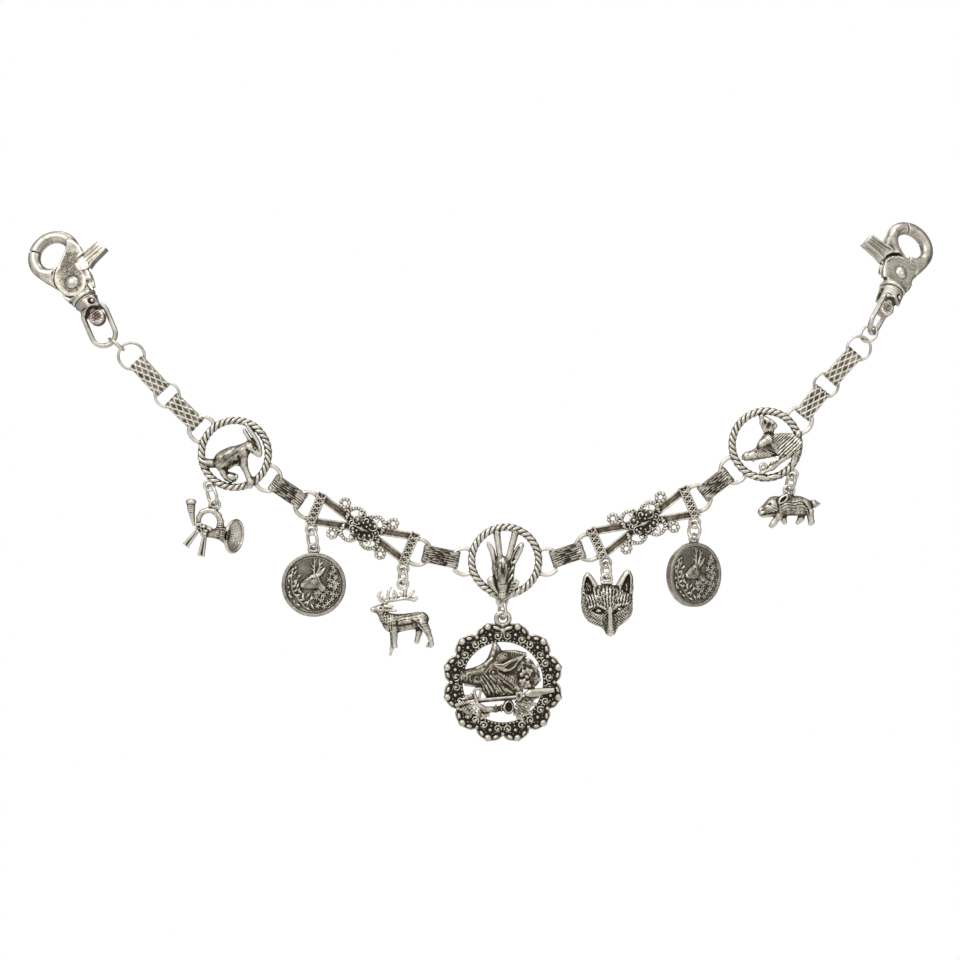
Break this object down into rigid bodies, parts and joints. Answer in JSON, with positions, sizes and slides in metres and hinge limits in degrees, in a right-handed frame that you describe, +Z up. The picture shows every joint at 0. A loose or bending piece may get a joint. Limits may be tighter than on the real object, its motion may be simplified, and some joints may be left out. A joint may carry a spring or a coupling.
{
  "type": "charm chain",
  "caption": "Charivari charm chain with hunting charms, rope roundels, bow links, folded strips and a swivel trigger hook at each end",
  "frame": {"origin": "centre of the left hook's eye", "axes": "+X along the chain to the right hook, +Z up, front of the charms towards -Y"},
  "size_m": [0.304, 0.0271, 0.1743],
  "materials": {
    "antique_silver": "antiqued silver plate, dark in the recesses",
    "bright_silver": "satin silver plate, light patina",
    "dark_silver": "heavily oxidised silver plate, worn bright on the high points"
  },
  "bodies": {
    "chain": {"left_swivel_pin": "bright_silver", "left_swivel_ring": "bright_silver", "right_swivel_pin": "bright_silver", "right_swivel_ring": "bright_silver", "left_end_ring": "bright_silver", "left_strip_ring_a": "bright_silver", "left_strip_ring_b": "bright_silver", "right_strip_ring_a": "bright_silver", "right_strip_ring_b": "bright_silver", "right_end_ring": "bright_silver", "strip_1": "antique_silver", "strip_2": "antique_silver", "strip_3": "antique_silver", "strip_4": "antique_silver", "strip_5": "antique_silver", "strip_6": "antique_silver", "strip_7": "antique_silver", "strip_8": "antique_silver", "hare_roundel": "antique_silver", "roebuck_roundel": "antique_silver", "grouse_roundel": "antique_silver", "left_bow": "antique_silver", "right_bow": "antique_silver", "horn_ring": "bright_silver", "left_coin_ring": "bright_silver", "stag_ring": "bright_silver", "fox_ring": "bright_silver", "right_coin_ring": "bright_silver", "boar_ring": "bright_silver", "horn_charm": "antique_silver", "left_coin": "dark_silver", "stag_charm": "antique_silver", "fox_charm": "antique_silver", "right_coin": "dark_silver", "boar_charm": "antique_silver"},
    "left_clasp": {"left_clasp_hook": "bright_silver", "left_clasp_rivet": "bright_silver"},
    "left_lever": {"left_clasp_lever": "bright_silver"},
    "right_clasp": {"right_clasp_hook": "bright_silver", "right_clasp_rivet": "bright_silver"},
    "right_lever": {"right_clasp_lever": "bright_silver"},
    "pendant": {"boar_head_pendant": "dark_silver", "pendant_ring": "bright_silver"}
  },
  "joints": [
    {"name": "left_swivel", "type": "hinge", "parent": "chain", "child": "left_clasp", "pos_m": [0.00687, -0.0027, -0.00946], "axis": [-0.5727, 0.225, 0.7883], "continuous": true},
    {"name": "left_lever_hinge", "type": "hinge", "parent": "left_clasp", "child": "left_lever", "pos_m": [0.00687, -0.0027, -0.00946], "axis": [0.1322, 0.9744, -0.182], "range_deg": [0, 22], "stiffness_Nm_per_rad": 0.005, "springref_deg": -11.46},
    {"name": "right_swivel", "type": "hinge", "parent": "chain", "child": "right_clasp", "pos_m": [0.28324, 0.00464, -0.00593], "axis": [0.3656, 0.4384, 0.8211], "continuous": true},
    {"name": "right_lever_hinge", "type": "hinge", "parent": "right_clasp", "child": "right_lever", "pos_m": [0.28324, 0.00464, -0.00593], "axis": [0.4087, -0.8682, 0.2816], "range_deg": [0, 22], "stiffness_Nm_per_rad": 0.005, "springref_deg": -11.46},
    {"name": "pendant_swing", "type": "hinge", "parent": "chain", "child": "pendant", "pos_m": [0.14996, -0.00479, -0.11536], "axis": [1, 0, 0], "range_deg": [-30, 30]}
  ]
}
